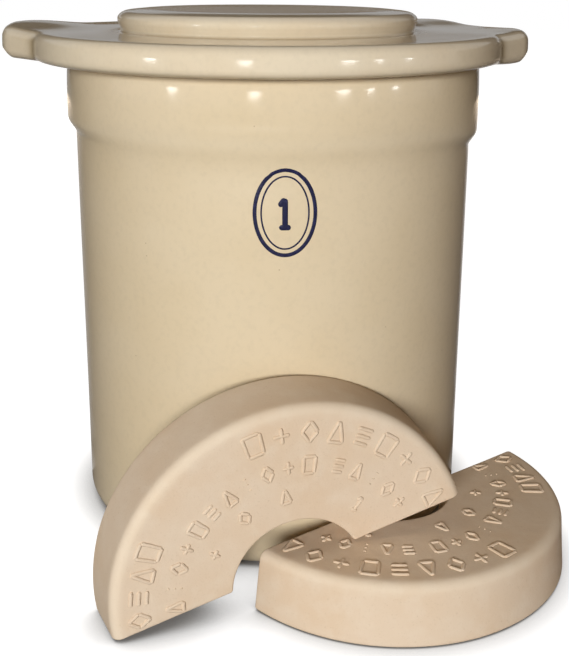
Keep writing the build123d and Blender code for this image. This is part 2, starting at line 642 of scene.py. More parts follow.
@dataclass(frozen=True)
class Stroke:
    """One raised line: flat points along it, its half width, height and how far it is sunk.

    Its foot is foot_share as wide as the ridge, and tip_share keeps its tips from closing.
    """

    path: np.ndarray
    half_width: float
    height: float
    sunk: float
    closed: bool = False
    foot_share: float = 0.7
    tip_share: float = 0.02

    def skin(self, place: Callable, across: int = 7) -> Skin:
        """Works the stroke out as a rounded ridge.

        The section is a parabola, height * (1 - t^2) for t from -1 to 1 across the width, closed
        by a flat bottom. Near an open end both shrink as a half circle does, so the tip is round.

        Args:
            place: A function from two flat coordinates and a lift to points in space.
            across: The number of points over the ridge.

        Returns:
            The closed skin.
        """
        path = self.path
        if self.closed:
            ahead = unit(np.roll(path, -1, 0) - np.roll(path, 1, 0))
            taper = np.ones(len(path))
        else:
            ahead = unit(np.gradient(path, axis=0))
            walked = np.concatenate([[0.0], np.cumsum(np.linalg.norm(np.diff(path, axis=0), axis=1))])
            reach = np.minimum(walked, walked[-1] - walked) / self.half_width
            taper = np.sqrt(np.clip(1.0 - (1.0 - np.minimum(reach, 1.0)) ** 2, self.tip_share, 1.0))
        side = np.stack([-ahead[:, 1], ahead[:, 0]], 1)
        t = np.linspace(-1.0, 1.0, across)
        sway = np.concatenate([t, [self.foot_share, -self.foot_share]])
        lift = np.concatenate([self.height * (1.0 - t ** 2), [-self.sunk, -self.sunk]])
        flat = path[:, None] + side[:, None] * (sway[None, :, None] * self.half_width * taper[:, None, None])
        rise = np.where(lift > 0.0, lift * taper[:, None], np.broadcast_to(lift, (len(path), len(lift))))
        rings = place(flat[..., 0], flat[..., 1], rise)
        poles = None if self.closed else (rings[0].mean(0), rings[-1].mean(0))
        return loft(rings, poles)


def line(start: tuple, end: tuple, count: int = 14) -> np.ndarray:
    """Draws a straight stroke's points, closer together at its ends.

    The share along the line is (1 - cos a) / 2 for a from 0 to pi.

    Args:
        start: Its first point.
        end: Its last point.
        count: The number of points.

    Returns:
        The points, a row for each.
    """
    share = (1.0 - np.cos(np.linspace(0.0, pi, count))) / 2.0
    start, end = np.array(start, float), np.array(end, float)
    return start + (end - start) * share[:, None]


def oval(centre: tuple, half_sizes: tuple, count: int) -> np.ndarray:
    """Draws an oval's points: centre plus half sizes times (cos a, sin a).

    Args:
        centre: Its middle.
        half_sizes: Half its width and half its height.
        count: The number of points.

    Returns:
        The points, a row for each.
    """
    angle = np.linspace(0.0, 2.0 * pi, count, endpoint=False)
    return np.array(centre) + np.stack([np.cos(angle), np.sin(angle)], 1) * half_sizes


def figure(motif: Motif, width: float, height: float, half_width: float, lift: float, sunk: float) -> list:
    """Draws one figure about the origin.

    Args:
        motif: Which figure.
        width: Its width, in millimetres.
        height: Its height, in millimetres.
        half_width: Half the width of its lines.
        lift: The height of its lines over the surface.
        sunk: How far they reach below it.

    Returns:
        The figure's strokes.
    """
    x, y = width / 2.0 - half_width, height / 2.0 - half_width
    dot = half_width * 0.3
    ends = {
        Motif.LOZENGE: [((0, -y), (x, 0)), ((x, 0), (0, y)), ((0, y), (-x, 0)), ((-x, 0), (0, -y))],
        Motif.SQUARE: [((-x, -y), (x, -y)), ((x, -y), (x, y)), ((x, y), (-x, y)), ((-x, y), (-x, -y))],
        Motif.TRIANGLE: [((-x, -y), (x, -y)), ((x, -y), (0, y)), ((0, y), (-x, -y))],
        Motif.RUNGS: [((-x, h * y), (x, h * y)) for h in (-0.7, 0.0, 0.7)],
        Motif.PLUS: [((-x, 0), (x, 0)), ((0, -y * 0.8), (0, y * 0.8))],
        Motif.DOTS: [((0, h * y - dot), (0, h * y + dot)) for h in (-0.75, 0.0, 0.75)],
        Motif.ONE: [((0, -y), (0, y)), ((0, y), (-x, y * 0.45)), ((-x, -y), (x, -y))],
    }
    return [Stroke(line(a, b), half_width, lift, sunk) for a, b in ends[motif]]


# Sub-assemblies

@dataclass
class Crock:
    """The pot: a straight jiggered wall with a thick band round its mouth, glazed but for its foot."""

    rim_height: float = 214.0
    mouth_radius: float = 83.6
    wall: float = 8.0
    collar_step: float = 3.4
    collar_depth: float = 30.6
    collar_slope: float = 5.0
    collar_round: float = 5.0
    step_round: float = 4.0
    foot_flare: float = 2.7
    inside_draft: float = 0.8
    floor_thickness: float = 12.0
    floor_round: float = 14.0
    heel_round: float = 8.0
    rim_outer_round: float = 3.5
    rim_inner_round: float = 3.5

    # How fine the mesh is: points round the pot and millimetres up the section
    around: int = 300
    along: float = 2.2

    # Dried unevenly: how deep, between which wavelengths, and how far out it sets in
    wobble: float = 0.16
    wobble_lengths: tuple = (70.0, 190.0)
    wobble_seed: int = 11
    wobble_start: tuple = (10.0, 40.0)

    # The collar as a hand leaves it: depths, heights, and how far round the front is wiped soft
    collar_barrel: float = 1.05
    barrel_depth: float = 25.0
    collar_hang: float = 2.7
    hang_reach: float = 14.0
    soft_step: tuple = (-9.5, 12.5)
    soft_depth: float = 2.0
    front_span: tuple = (0.2, 0.85)

    # Where glaze pools and thins, where shade is painted under the collar's step, and up to where the foot is
    # wiped bare
    step_pool_and_shade: Mark = Mark(2.6, 0.08)
    floor_pool: Mark = Mark(6.0, 0.8)
    rim_edge: Mark = Mark(2.0, 0.5)
    band_edge: Mark = Mark(2.4, 0.15)
    bare_height: float = 1.6

    @property
    def top_radius(self) -> float:
        """The wall's outer radius under the collar."""
        return self.mouth_radius + self.wall

    @property
    def foot_radius(self) -> float:
        """The wall's outer radius at the table, before the heel is rounded."""
        return self.top_radius + self.foot_flare

    @property
    def collar_radius(self) -> float:
        """The collar's outer radius."""
        return self.top_radius + self.collar_step

    @property
    def collar_foot(self) -> float:
        """The height at which the collar starts."""
        return self.rim_height - self.collar_depth

    @property
    def wall_slope(self) -> float:
        """The angle by which the outer wall leans inwards, in radians."""
        return atan(self.foot_flare / self.collar_foot)

    def profile(self) -> np.ndarray:
        """Draws the section from the foot's centre, up the outside, to the floor's centre.

        Returns:
            Its points as radius and height.
        """
        corners = [
            (0.0, 0.0),
            (self.foot_radius, 0.0),
            (self.top_radius, self.collar_foot),
            (self.collar_radius, self.collar_foot + self.collar_slope),
            (self.collar_radius, self.rim_height),
            (self.mouth_radius, self.rim_height),
            (self.mouth_radius - self.inside_draft, self.floor_thickness),
            (0.0, self.floor_thickness),
        ]
        radii = [
            0.0, self.heel_round, self.step_round, self.collar_round, self.rim_outer_round,
            self.rim_inner_round, self.floor_round, 0.0,
        ]
        return rounded_path(corners, radii, self.along)

    def settled(self, points: np.ndarray) -> np.ndarray:
        """Draws the wall in a little, as clay dries unevenly.

        Each point moves towards the axis by wobble times a mean of long waves. The middle of
        the floor stays.

        Args:
            points: The points before settling.

        Returns:
            The points after it.
        """
        drop = self.wobble * waves(points, self.wobble_lengths, self.wobble_seed)
        drop *= smooth_step(*self.wobble_start, off_axis(points))
        return points - outwards(points) * drop[:, None]

    def banded(self, points: np.ndarray) -> np.ndarray:
        """Shapes the collar as a hand does.

        Its outer face draws in towards the rim by barrel * t^2, with t from 0 to 1 over the
        barrel's depth. At the front the step under it is wiped to a soft S: the wall's radius
        plus the step times a smooth step over a longer height. Elsewhere the step hangs by
        hang * (1 + x / r), fading out above and below.

        Args:
            points: The points before shaping.

        Returns:
            The points after it.
        """
        radius, z = off_axis(points), points[:, 2]
        spoke = np.maximum(radius, 1.0)
        outside = smooth_step(self.mouth_radius, self.top_radius, radius)
        front = smooth_step(*self.front_span, -points[:, 1] / spoke)
        low, high = (self.collar_foot + s for s in self.soft_step)
        wall = self.foot_radius - np.minimum(z, self.collar_foot) * tan(self.wall_slope)
        soft = wall + self.collar_step * smooth_step(low, high, z)
        at_step = (radius > self.top_radius - self.soft_depth) & (z > low) & (z < high)
        out = (soft - radius) * front * at_step
        t = np.clip((z - self.rim_height + self.barrel_depth) / self.barrel_depth, 0.0, 1.0)
        out -= self.collar_barrel * t * t * outside
        shaped = points + outwards(points) * out[:, None]
        half_slope = self.collar_slope / 2.0
        near = 1.0 - smooth_step(half_slope, self.hang_reach, abs(z - self.collar_foot - half_slope))
        shaped[:, 2] -= self.collar_hang * (1.0 + points[:, 0] / spoke) * near * (1.0 - front) * outside
        return shaped

    def wall_point(self, angle: np.ndarray, height: np.ndarray, lift: np.ndarray) -> np.ndarray:
        """Returns points on the outer wall below the collar, lifted off it.

        Args:
            angle: Radians round the axis, 0 at the front and growing to the right.
            height: Height over the table.
            lift: Distance off the wall.

        Returns:
            The points, an axis of 3 last.
        """
        radius = self.foot_radius - height * tan(self.wall_slope)
        plain = np.stack([radius * np.sin(angle), -radius * np.cos(angle), height], -1)
        on = self.banded(self.settled(plain.reshape(-1, 3))).reshape(plain.shape)
        return on + outwards(plain) * np.asarray(lift)[..., None]

    def marks(self, points: np.ndarray) -> dict:
        """Works out where the glaze pools and where it thins.

        It pools in the floor and under the step, where the darker colour also paints shade, and thins on the
        rim and the collar's lower edge.

        Args:
            points: The points before settling.

        Returns:
            A pooled-glaze-and-painted-shade value and an edge value for each point.
        """
        z = points[:, 2]
        outside = off_axis(points) > self.top_radius - self.wall / 2.0
        # Pooled glaze under the step, which also paints shade in the crease below the collar
        step = self.step_pool_and_shade.at(z - self.collar_foot) * outside
        floor = self.floor_pool.at(z - self.floor_thickness) * ~outside
        rim = self.rim_edge.strength * smooth_step(self.rim_height - self.rim_edge.width, self.rim_height, z)
        band = self.band_edge.at(z - self.collar_foot - self.collar_slope) * outside
        return {"pool_and_shade": np.clip(step + floor, 0.0, 1.0), "edge": np.clip(rim + band, 0.0, 1.0)}

    def build(self, glaze: bpy.types.Material, bare: bpy.types.Material) -> bpy.types.Object:
        """Turns the profile about the axis, settles it and dresses it.

        Args:
            glaze: The finish of all that was dipped.
            bare: The finish of the wiped foot.

        Returns:
            The pot.
        """
        angle = np.linspace(0.0, 2.0 * pi, self.around, endpoint=False)
        circle = np.stack([np.cos(angle), np.sin(angle)], 1)
        skin = loft(turned(self.profile()[1:-1], circle), ((0.0, 0.0, 0.0), (0.0, 0.0, self.floor_thickness)))
        marks = self.marks(skin.points)
        skin.points = self.banded(self.settled(skin.points))
        wiped = skin.over_faces(skin.points[:, 2], np.max) < self.bare_height
        pot = make_piece(
            "crock_wall", skin, "crock_body", [glaze, bare], wiped.astype(int), marks
        )
        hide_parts("crock")
        against_node(pot, "crock")
        return pot


@dataclass(frozen=True)
class Swell:
    """A soft hill on the lid: its middle from the lid's axis, its width and its height, in millimetres."""

    across: float
    back: float
    width: float
    height: float

    def at(self, points: np.ndarray) -> np.ndarray:
        """Returns height * e^-(d / width)^2 for each point, d away from the middle as seen from above."""
        return self.height * np.exp(-(off_axis(points - (self.across, self.back, 0.0)) / self.width) ** 2)


@dataclass
class Lid:
    """The cover: a flange with two lugs, a raised disc hollowed from below, and a locating ring."""

    crock: Crock
    touch_gap: float = 0.3

    # Flange and lugs, with turns in degrees
    flange_overhang: float = 11.7
    flange_thickness: float = 11.9
    flange_top_round: float = 4.5
    flange_bottom_round: float = 3.5
    flange_lean: float = 0.5
    flange_bulge: float = 0.12
    lug_overhang: float = 13.8
    lug_turn: float = 50.0
    lug_tip_half_width: float = 10.0
    lug_tip_round: float = 22.0
    lug_root_round: float = 10.0
    lid_turn: float = 2.0

    # Shaped by hands and fire: each change sets in over a span of radii or heights
    swells: tuple = (
        Swell(-112.0, 14.0, 30.0, 3.0), Swell(92.0, 58.0, 32.0, 2.7), Swell(112.0, 0.0, 16.0, 0.9)
    )
    swell_start: float = 2.0
    swell_span: tuple = (2.0, 14.0)
    under_share: float = 0.75
    lug_tuck: float = 2.6
    tuck_span: tuple = (-7.0, 1.0)
    sag: Swell = Swell(108.0, -16.0, 22.0, 1.5)
    sag_span: tuple = (1.0, 6.0)
    disc_pillow: float = 1.0
    pillow_share: float = 0.72
    wobble: float = 0.12
    wobble_lengths: tuple = (60.0, 160.0)
    wobble_seed: int = 23
    wobble_start: tuple = (0.4, 3.0)

    # The raised disc
    disc_inset: float = 15.5
    disc_height: float = 9.2
    disc_round_share: float = 0.45
    disc_undercut: float = 1.6
    disc_belly_share: float = 0.45
    disc_belly_round: float = 3.5
    disc_foot_round: float = 1.2
    disc_foot_width: float = 3.0

    # The locating ring and the recess inside it
    ring_clearance: float = 3.6
    lid_slip_share: float = 0.75
    ring_width: float = 8.0
    ring_depth: float = 7.0
    ring_round: float = 2.5
    ring_root_round: float = 1.0
    ring_root_width: float = 4.0
    recess_wall: float = 8.1
    recess_roof: float = 12.0
    recess_round: float = 6.0
    recess_foot_round: float = 1.2

    # Where glaze pools and thins, where shade is painted at the disc's foot, under the flange's edge and in
    # the lugs' roots, and where the seat is wiped bare
    disc_edge: Mark = Mark(1.8, 0.35)
    disc_edge_inset: float = 1.5
    disc_edge_span: tuple = (-3.0, -1.0)
    disc_foot_pool_and_shade: Mark = Mark(2.2, 0.5)
    disc_foot_rise: Mark = Mark(1.2)
    seat_pool_and_shade: Mark = Mark(0.9, 0.8)
    seat_pool_and_shade_span: tuple = (4.0, 7.0)
    lug_pool_and_shade: Mark = Mark(4.5, 0.7)
    lug_pool_and_shade_inset: float = 1.0
    lug_pool_and_shade_span: tuple = (-3.5, -0.5)
    wiped_depth: float = 0.3
    wiped_reach: float = 4.0

    # How fine the mesh is: points round the lid, steps in millimetres, turns in degrees
    around: int = 480
    outline_lead: float = 4.0
    outline_arc: int = 400
    lug_step: float = 0.8
    lug_turn_step: float = 4.0
    disc_step: float = 1.6
    disc_turn_step: float = 6.0
    under_step: float = 2.4
    edge_arc: int = 9
    edge_side: int = 5
    top_rings: int = 12
    under_rings: int = 6

    @property
    def seat(self) -> float:
        """The height of the flange's underside."""
        return self.crock.rim_height + self.touch_gap

    @property
    def top(self) -> float:
        """The height of the flange's upper face."""
        return self.seat + self.flange_thickness

    @property
    def belly(self) -> float:
        """The height up to which the disc's side widens."""
        return self.top + self.disc_height * self.disc_belly_share

    @property
    def crown(self) -> float:
        """The height of the disc's upper face."""
        return self.top + self.disc_height

    @property
    def roof(self) -> float:
        """The height of the recess's roof."""
        return self.crown - self.recess_roof

    @property
    def disc(self) -> float:
        """The disc's radius."""
        return self.crock.mouth_radius - self.disc_inset

    @property
    def ring(self) -> float:
        """The locating ring's outer radius."""
        return self.crock.mouth_radius - self.ring_clearance

    @property
    def flange(self) -> float:
        """The flange's radius."""
        return self.crock.collar_radius + self.flange_overhang

    def lug_corners(self) -> tuple:
        """Works out the right lug's back corners as seen from above: at its tip and at its root.

        The root is where a line from the tip, tip + s * (-cos a, sin a), meets the flange's
        circle, and s comes from the circle's equation.

        Returns:
            The two corners.
        """
        tip = np.array([self.flange + self.lug_overhang, self.lug_tip_half_width])
        inwards = np.array([-cos(radians(self.lug_turn)), sin(radians(self.lug_turn))])
        along = -tip @ inwards - sqrt((tip @ inwards) ** 2 - tip @ tip + self.flange ** 2)
        return tip, tip + inwards * along

    def outline(self, inset: np.ndarray) -> np.ndarray:
        """Works out the flange's outline with its lugs, drawn in by each inset.

        A lug's corners are rounded. The outline is spaced evenly along its length, and each
        inset moves its points along their own normals.

        Args:
            inset: Distances, in millimetres.

        Returns:
            An array of insets by points by 2.
        """
        tip, root = self.lug_corners()
        near = np.arctan2(root[1], root[0]) + radians(self.outline_lead)
        lead = self.flange * np.array([cos(near), sin(near)])
        rounds = [0.0, self.lug_root_round, self.lug_tip_round]
        lug = rounded_path(
            [lead * (1, -1), root * (1, -1), tip * (1, -1), tip, root, lead], rounds + rounds[::-1],
            self.lug_step, radians(self.lug_turn_step),
        )
        angle = np.linspace(near, pi - near, self.outline_arc)[1:-1]
        arc = self.flange * np.stack([np.cos(angle), np.sin(angle)], 1)
        fine = np.concatenate([lug, arc, -lug, -arc])
        steps = np.linalg.norm(np.roll(fine, -1, 0) - fine, axis=1)
        walked = np.concatenate([[0.0], np.cumsum(steps)])
        at = np.linspace(0.0, walked[-1], self.around, endpoint=False)
        loop = np.concatenate([fine, fine[:1]])
        even = np.stack([np.interp(at, walked, loop[:, k]) for k in range(2)], 1)
        ahead = unit(np.roll(even, -1, 0) - np.roll(even, 1, 0))
        normal = np.stack([ahead[:, 1], -ahead[:, 0]], 1)
        return even[None] - normal[None] * np.asarray(inset)[:, None, None]

    def disc_section(self) -> np.ndarray:
        """Draws the disc's section from its middle to a little way out on the flange.

        Returns:
            Its points as radius and height.
        """
        corners = [
            (0.0, self.crown),
            (self.disc, self.crown),
            (self.disc, self.belly),
            (self.disc - self.disc_undercut, self.top),
            (self.disc + self.disc_foot_width, self.top),
        ]
        radii = [
            0.0, self.disc_height * self.disc_round_share, self.disc_belly_round, self.disc_foot_round, 0.0
        ]
        return rounded_path(corners, radii, self.disc_step, radians(self.disc_turn_step))

    def under_section(self) -> np.ndarray:
        """Draws the underside's section from the seat, round the ring, to the recess's middle.

        Returns:
            Its points as radius and height.
        """
        foot = self.seat - self.ring_depth
        corners = [
            (self.ring + self.ring_root_width, self.seat),
            (self.ring, self.seat),
            (self.ring, foot),
            (self.ring - self.ring_width, foot),
            (self.disc - self.recess_wall, self.roof),
            (0.0, self.roof),
        ]
        radii = [0.0, self.ring_root_round, self.ring_round, self.recess_foot_round, self.recess_round, 0.0]
        return rounded_path(corners, radii, self.under_step)

    def edge_section(self) -> np.ndarray:
        """Draws the section of the flange's edge from top to underside.

        Two quarter arcs are joined by a straight side. With t from 0 at the underside to 1 at
        the top, it leans in by lean * t and draws in at both ends by bulge * (2t - 1)^2.

        Returns:
            Its points as inset from the outline and height.
        """
        turn = np.linspace(0.0, pi / 2.0, self.edge_arc)
        high, low = self.flange_top_round, self.flange_bottom_round
        top_arc = np.stack([high * (1.0 - np.sin(turn)), self.top - high * (1.0 - np.cos(turn))], 1)
        low_arc = np.stack([low * (1.0 - np.cos(turn)), self.seat + low * (1.0 - np.sin(turn))], 1)
        side = between(top_arc[-1:], low_arc[:1], self.edge_side)[:, 0]
        edge = np.concatenate([top_arc, side, low_arc])
        t = np.clip((edge[:, 1] - self.seat) / self.flange_thickness, 0.0, 1.0)
        edge[:, 0] += self.flange_lean * t + self.flange_bulge * (2.0 * t - 1.0) ** 2
        return edge

    def surface(self) -> Skin:
        """Carries the section round the lid, from a circle at the middle to the outline at its edge.

        Each ring is a circle of its own radius, the outline drawn in by its own inset, or lies
        between the two by a share, and has one height.

        Returns:
            The closed skin before it is shaped.
        """
        edge = self.edge_section()
        outline = self.outline(edge[:, 0])
        angle = np.arctan2(outline[0, :, 1], outline[0, :, 0])
        circle = np.stack([np.cos(angle), np.sin(angle)], 1)
        heights = np.broadcast_to(edge[:, 1:, None], (*outline.shape[:2], 1))
        rim = np.concatenate([outline, heights], -1)
        over, under = turned(self.disc_section()[1:], circle), turned(self.under_section()[:-1], circle)
        shoulder = between(over[-1], rim[0], self.top_rings)
        seating = between(rim[-1], under[0], self.under_rings)
        rings = np.concatenate([over, shoulder, rim, seating, under])
        return loft(rings, ((0.0, 0.0, self.crown), (0.0, 0.0, self.roof)))

    def shaped(self, points: np.ndarray) -> np.ndarray:
        """Shapes the lid as hands and the kiln do.

        Its upper side swells, its underside tucks up at the lugs' tips and sags at one lug, the
        disc falls off to its edge as a cushion does, and all but the seat sinks in long waves.

        Args:
            points: The points before shaping.

        Returns:
            The points after it.
        """
        radius, z = off_axis(points), points[:, 2]
        upper = smooth_step(self.seat + self.swell_start, self.top, z)
        upper *= smooth_step(*(self.disc + s for s in self.swell_span), radius)
        under = 1.0 - smooth_step(self.seat, self.seat + self.under_share * self.flange_thickness, z)
        tips = smooth_step(*(self.flange + self.lug_overhang + s for s in self.tuck_span), abs(points[:, 0]))
        clear = smooth_step(*(self.crock.collar_radius + s for s in self.sag_span), radius)
        cushion = smooth_step(self.pillow_share * self.disc, self.disc, radius) ** 2
        shaped = points.copy()
        shaped[:, 2] += sum(swell.at(points) for swell in self.swells) * upper
        shaped[:, 2] += (self.lug_tuck * tips - self.sag.at(points) * clear) * under
        shaped[:, 2] -= self.disc_pillow * cushion * smooth_step(self.belly, self.crown, z)
        fall = self.wobble * waves(shaped, self.wobble_lengths, self.wobble_seed)
        shaped[:, 2] -= fall * smooth_step(*self.wobble_start, z - self.seat)
        return shaped

    def placed(self, points: np.ndarray) -> np.ndarray:
        """Turns the lid about its axis and slips it to the left in the mouth.

        Args:
            points: The shaped points.

        Returns:
            The points after it.
        """
        turn = radians(self.lid_turn)
        turning = np.array([[cos(turn), sin(turn), 0.0], [-sin(turn), cos(turn), 0.0], [0.0, 0.0, 1.0]])
        return points @ turning - (self.ring_clearance * self.lid_slip_share, 0.0, 0.0)

    def marks(self, points: np.ndarray) -> dict:
        """Works out where the glaze pools and where it thins.

        It pools at the disc's foot, on the underside's edge and in the lugs' roots, where the darker
        colour also paints shade, and thins on the disc's edge.

        Args:
            points: The points before shaping.

        Returns:
            A pooled-glaze-and-painted-shade value and an edge value for each point.
        """
        radius, z = off_axis(points), points[:, 2]
        edge = self.disc_edge.at(radius - self.disc + self.disc_edge_inset)
        edge *= smooth_step(*(self.crown + s for s in self.disc_edge_span), z)
        foot = self.disc_foot_pool_and_shade.at(radius - self.disc) * self.disc_foot_rise.at(z - self.top)
        beyond = smooth_step(*(self.crock.collar_radius + s for s in self.seat_pool_and_shade_span), radius)
        _, root = self.lug_corners()
        away = np.hypot(abs(points[:, 0]) - root[0] + self.lug_pool_and_shade_inset, abs(points[:, 1]) - root[1])
        below = 1.0 - smooth_step(*(self.top + s for s in self.lug_pool_and_shade_span), z)
        # Pooled glaze that also paints shade at the disc's foot, along the flange's underside edge and in the
        # lugs' roots
        pool_and_shade = foot + self.seat_pool_and_shade.at(z - self.seat) * beyond + self.lug_pool_and_shade.at(away) * below
        return {"pool_and_shade": np.clip(pool_and_shade, 0.0, 1.0), "edge": edge}

    def build(self, glaze: bpy.types.Material, bare: bpy.types.Material) -> bpy.types.Object:
        """Makes the lid and dresses it.

        Args:
            glaze: The finish of all that was dipped.
            bare: The finish of the wiped face that rests on the rim.

        Returns:
            The lid.
        """
        skin = self.surface()
        points = skin.points
        skin.points = self.placed(self.shaped(points))
        radius = off_axis(points)
        wiped = (
            (skin.over_faces(abs(points[:, 2] - self.seat), np.max) < self.wiped_depth)
            & (skin.over_faces(radius, np.min) > self.ring - self.wiped_reach)
            & (skin.over_faces(radius, np.max) < self.crock.collar_radius + self.wiped_reach)
        )
        lid = make_piece(
            "lid_cover", skin, "lid_body", [glaze, bare], wiped.astype(int), self.marks(points)
        )
        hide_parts("lid")
        against_node(lid, "lid")
        return lid


@dataclass(frozen=True)
class Row:
    """Raised figures on one arc.

    It holds the arc's radius, the figures' height and width, their order, and the turn of each
    from the middle in degrees.
    """

    radius: float
    height: float
    width: float
    figures: tuple
    turns: tuple


@dataclass
class HalfRing:
    """Half of a ring-shaped weight, pressed in a tapered mould and cut short of the centre line.

    Its own axes: X along the straight face, Y out over the round side, Z from the back (0) to
    the marked face.
    """

    crock: Crock

    # The section, and how far it stays off the centre line
    clearance: float = 2.2
    draft: float = 3.0
    bore: float = 28.2
    thickness: float = 27.3
    half_gap: float = 7.4
    face_round: float = 4.5
    back_round: float = 1.5
    bore_round: float = 1.2
    cut_round: float = 1.15

    # How fine the mesh is: steps in millimetres, turns in degrees, then counts
    section_step: float = 1.6
    section_turn_step: float = 15.0
    sweep: int = 170
    cut_arc: int = 6
    cap_rings: int = 7

    # Dented by the mould, rubbed by hands, and paler on the marked face's round edge from wear and a painted
    # highlight
    hollow: float = 0.22
    hollow_lengths: tuple = (26.0, 80.0)
    hollow_seed: int = 5
    worn_and_highlight: Mark = Mark(2.2, 0.4)
    worn_and_highlight_depth: float = 1.4
    worn_and_highlight_span: tuple = (-6.0, -2.0)

    # The raised figures
    stroke_half_width: float = 0.85
    stroke_height: float = 0.55
    stroke_sunk: float = 0.5
    rows: tuple = (
        Row(67.2, 10.8, 8.2, (Motif.LOZENGE, Motif.RUNGS, Motif.TRIANGLE, Motif.SQUARE),
            (-79.0, -70.4, -61.8, -53.2)),
        Row(67.2, 10.8, 8.6, (Motif.SQUARE, Motif.PLUS, Motif.LOZENGE, Motif.TRIANGLE, Motif.RUNGS),
            (-2.0, 8.1, 18.2, 28.3, 38.4, 48.5, 58.6, 68.7, 78.8)),
        Row(52.8, 9.0, 6.6,
            (Motif.TRIANGLE, Motif.DOTS, Motif.LOZENGE, Motif.PLUS, Motif.SQUARE, Motif.RUNGS),
            (-77.0, -67.4, -57.8, -48.2, -38.6, -29.0, -19.4, -9.8, -0.2, 9.4, 19.0, 33.0, 42.6, 52.2,
             61.8, 71.4)),
        Row(40.6, 8.0, 6.4, (Motif.PLUS, Motif.LOZENGE, Motif.TRIANGLE), (-47.0, -20.0, 6.0)),
        Row(40.6, 8.0, 5.0, (Motif.ONE,), (54.0,)),
    )

    @property
    def back_radius(self) -> float:
        """The outer radius at the back."""
        return self.crock.mouth_radius - self.clearance

    @property
    def outer_half(self) -> float:
        """Half the length of the straight face at the back."""
        return sqrt(self.back_radius ** 2 - self.half_gap ** 2)

    @property
    def bore_half(self) -> float:
        """Half the width of the notch in the straight face."""
        return sqrt(self.bore ** 2 - self.half_gap ** 2)

    def profile(self) -> np.ndarray:
        """Draws the closed section.

        Returns:
            Its points as radius and height, without the last one.
        """
        middle = ((self.bore + self.back_radius) / 2.0, 0.0)
        corners = [
            middle,
            (self.back_radius, 0.0),
            (self.back_radius - self.draft, self.thickness),
            (self.bore, self.thickness),
            (self.bore, 0.0),
            middle,
        ]
        radii = [0.0, self.back_round, self.face_round, self.bore_round, self.bore_round, 0.0]
        return rounded_path(corners, radii, self.section_step, radians(self.section_turn_step))[:-1]

    @staticmethod
    def end_ring(section: np.ndarray, y: float) -> np.ndarray:
        """Returns the section's points (r, z) in the plane y, where x is sqrt(r^2 - y^2)."""
        x = np.sqrt(np.maximum(section[:, 0] ** 2 - y ** 2, 0.0))
        return np.stack([x, np.full(len(section), y), section[:, 1]], 1)

    def body(self) -> Skin:
        """Sweeps the section round the half ring and closes its two straight faces.

        On the way round, point (r, z) goes from the angle asin(y0 / r) to pi less that angle,
        so each end lies in one plane y = y0. There the section is drawn in by
        c - sqrt(c^2 - (c - d)^2) at the distance d from the straight face, which rounds its
        edges by c, and rings that shrink to the section's middle close it.

        Returns:
            The closed skin in the half ring's own axes.
        """
        section = self.profile()
        steps = unit(np.roll(section, -1, 0) - section)
        ahead = unit(steps + np.roll(steps, 1, 0))
        inward = np.stack([-ahead[:, 1], ahead[:, 0]], 1)
        middle = section.mean(0)
        cut = self.cut_round
        depths = cut * (1.0 - np.cos(np.linspace(pi / 2.0, 0.0, self.cut_arc)[1:]))
        drawn = cut - np.sqrt(np.maximum(cut ** 2 - (cut - depths) ** 2, 0.0))
        right = [self.end_ring(section + inward * i, self.half_gap + d) for i, d in zip(drawn, depths)]
        rim = section + inward * drawn[-1]
        for share in np.linspace(1.0, 0.0, self.cap_rings + 2)[1:-1]:
            right.append(self.end_ring(middle + (rim - middle) * share, self.half_gap))
        right = np.stack(right)
        first_angle = np.arcsin((self.half_gap + cut) / section[:, 0])
        angle = first_angle + (pi - 2.0 * first_angle) * np.linspace(0.0, 1.0, self.sweep)[:, None]
        radius, z = (np.broadcast_to(section[:, k], angle.shape) for k in range(2))
        around = np.stack([radius * np.cos(angle), radius * np.sin(angle), z], -1)
        pole = self.end_ring(middle[None], self.half_gap)[0]
        mirror = (-1.0, 1.0, 1.0)
        return loft(np.concatenate([right[::-1], around, right * mirror]), (pole, pole * mirror))

    def fettled(self) -> Skin:
        """Dents the body along its own normals by up to hollow millimetres, in gentle waves.

        Returns:
            The dented skin.
        """
        skin = self.body()
        dent = self.hollow * waves(skin.points, self.hollow_lengths, self.hollow_seed)
        skin.points = skin.points - skin.normals() * dent[:, None]
        return skin

    def on_face(
        self, turn: float, radius: float, u: np.ndarray, v: np.ndarray, lift: np.ndarray
    ) -> np.ndarray:
        """Bends flat points round the marked face.

        Point (u, v) lands at the radius r + v and turns from the figure's middle by u / r.

        Args:
            turn: The figure's turn from the middle of the half ring, in radians.
            radius: The row's radius r.
            u: Distances across.
            v: Distances outwards.
            lift: Distances off the face.

        Returns:
            The points, an axis of 3 last.
        """
        angle, reach = pi / 2.0 - turn - u / radius, radius + v
        return np.stack([reach * np.cos(angle), reach * np.sin(angle), self.thickness + lift], -1)

    def relief(self) -> Skin:
        """Bends the rows of plain raised figures round the marked face.

        Returns:
            All the figures as one skin.
        """
        skins = []
        for row in self.rows:
            for k, turn in enumerate(row.turns):
                strokes = figure(
                    row.figures[k % len(row.figures)], row.width, row.height,
                    self.stroke_half_width, self.stroke_height, self.stroke_sunk,
                )
                skins += [s.skin(partial(self.on_face, radians(turn), row.radius)) for s in strokes]
        return joined(skins)

    def marks(self, points: np.ndarray) -> dict:
        """Works out where the clay is paler from wear and a painted highlight: along the round edge of the
        marked face.

        Args:
            points: The points in the half ring's own axes.

        Returns:
            An edge value for each point.
        """
        rounding = smooth_step(*(self.back_radius - self.draft + s for s in self.worn_and_highlight_span), off_axis(points))
        # Wear along the round edge, also a painted highlight where the edge catches the light
        return {"edge": self.worn_and_highlight.at(points[:, 2] - self.thickness + self.worn_and_highlight_depth) * rounding}

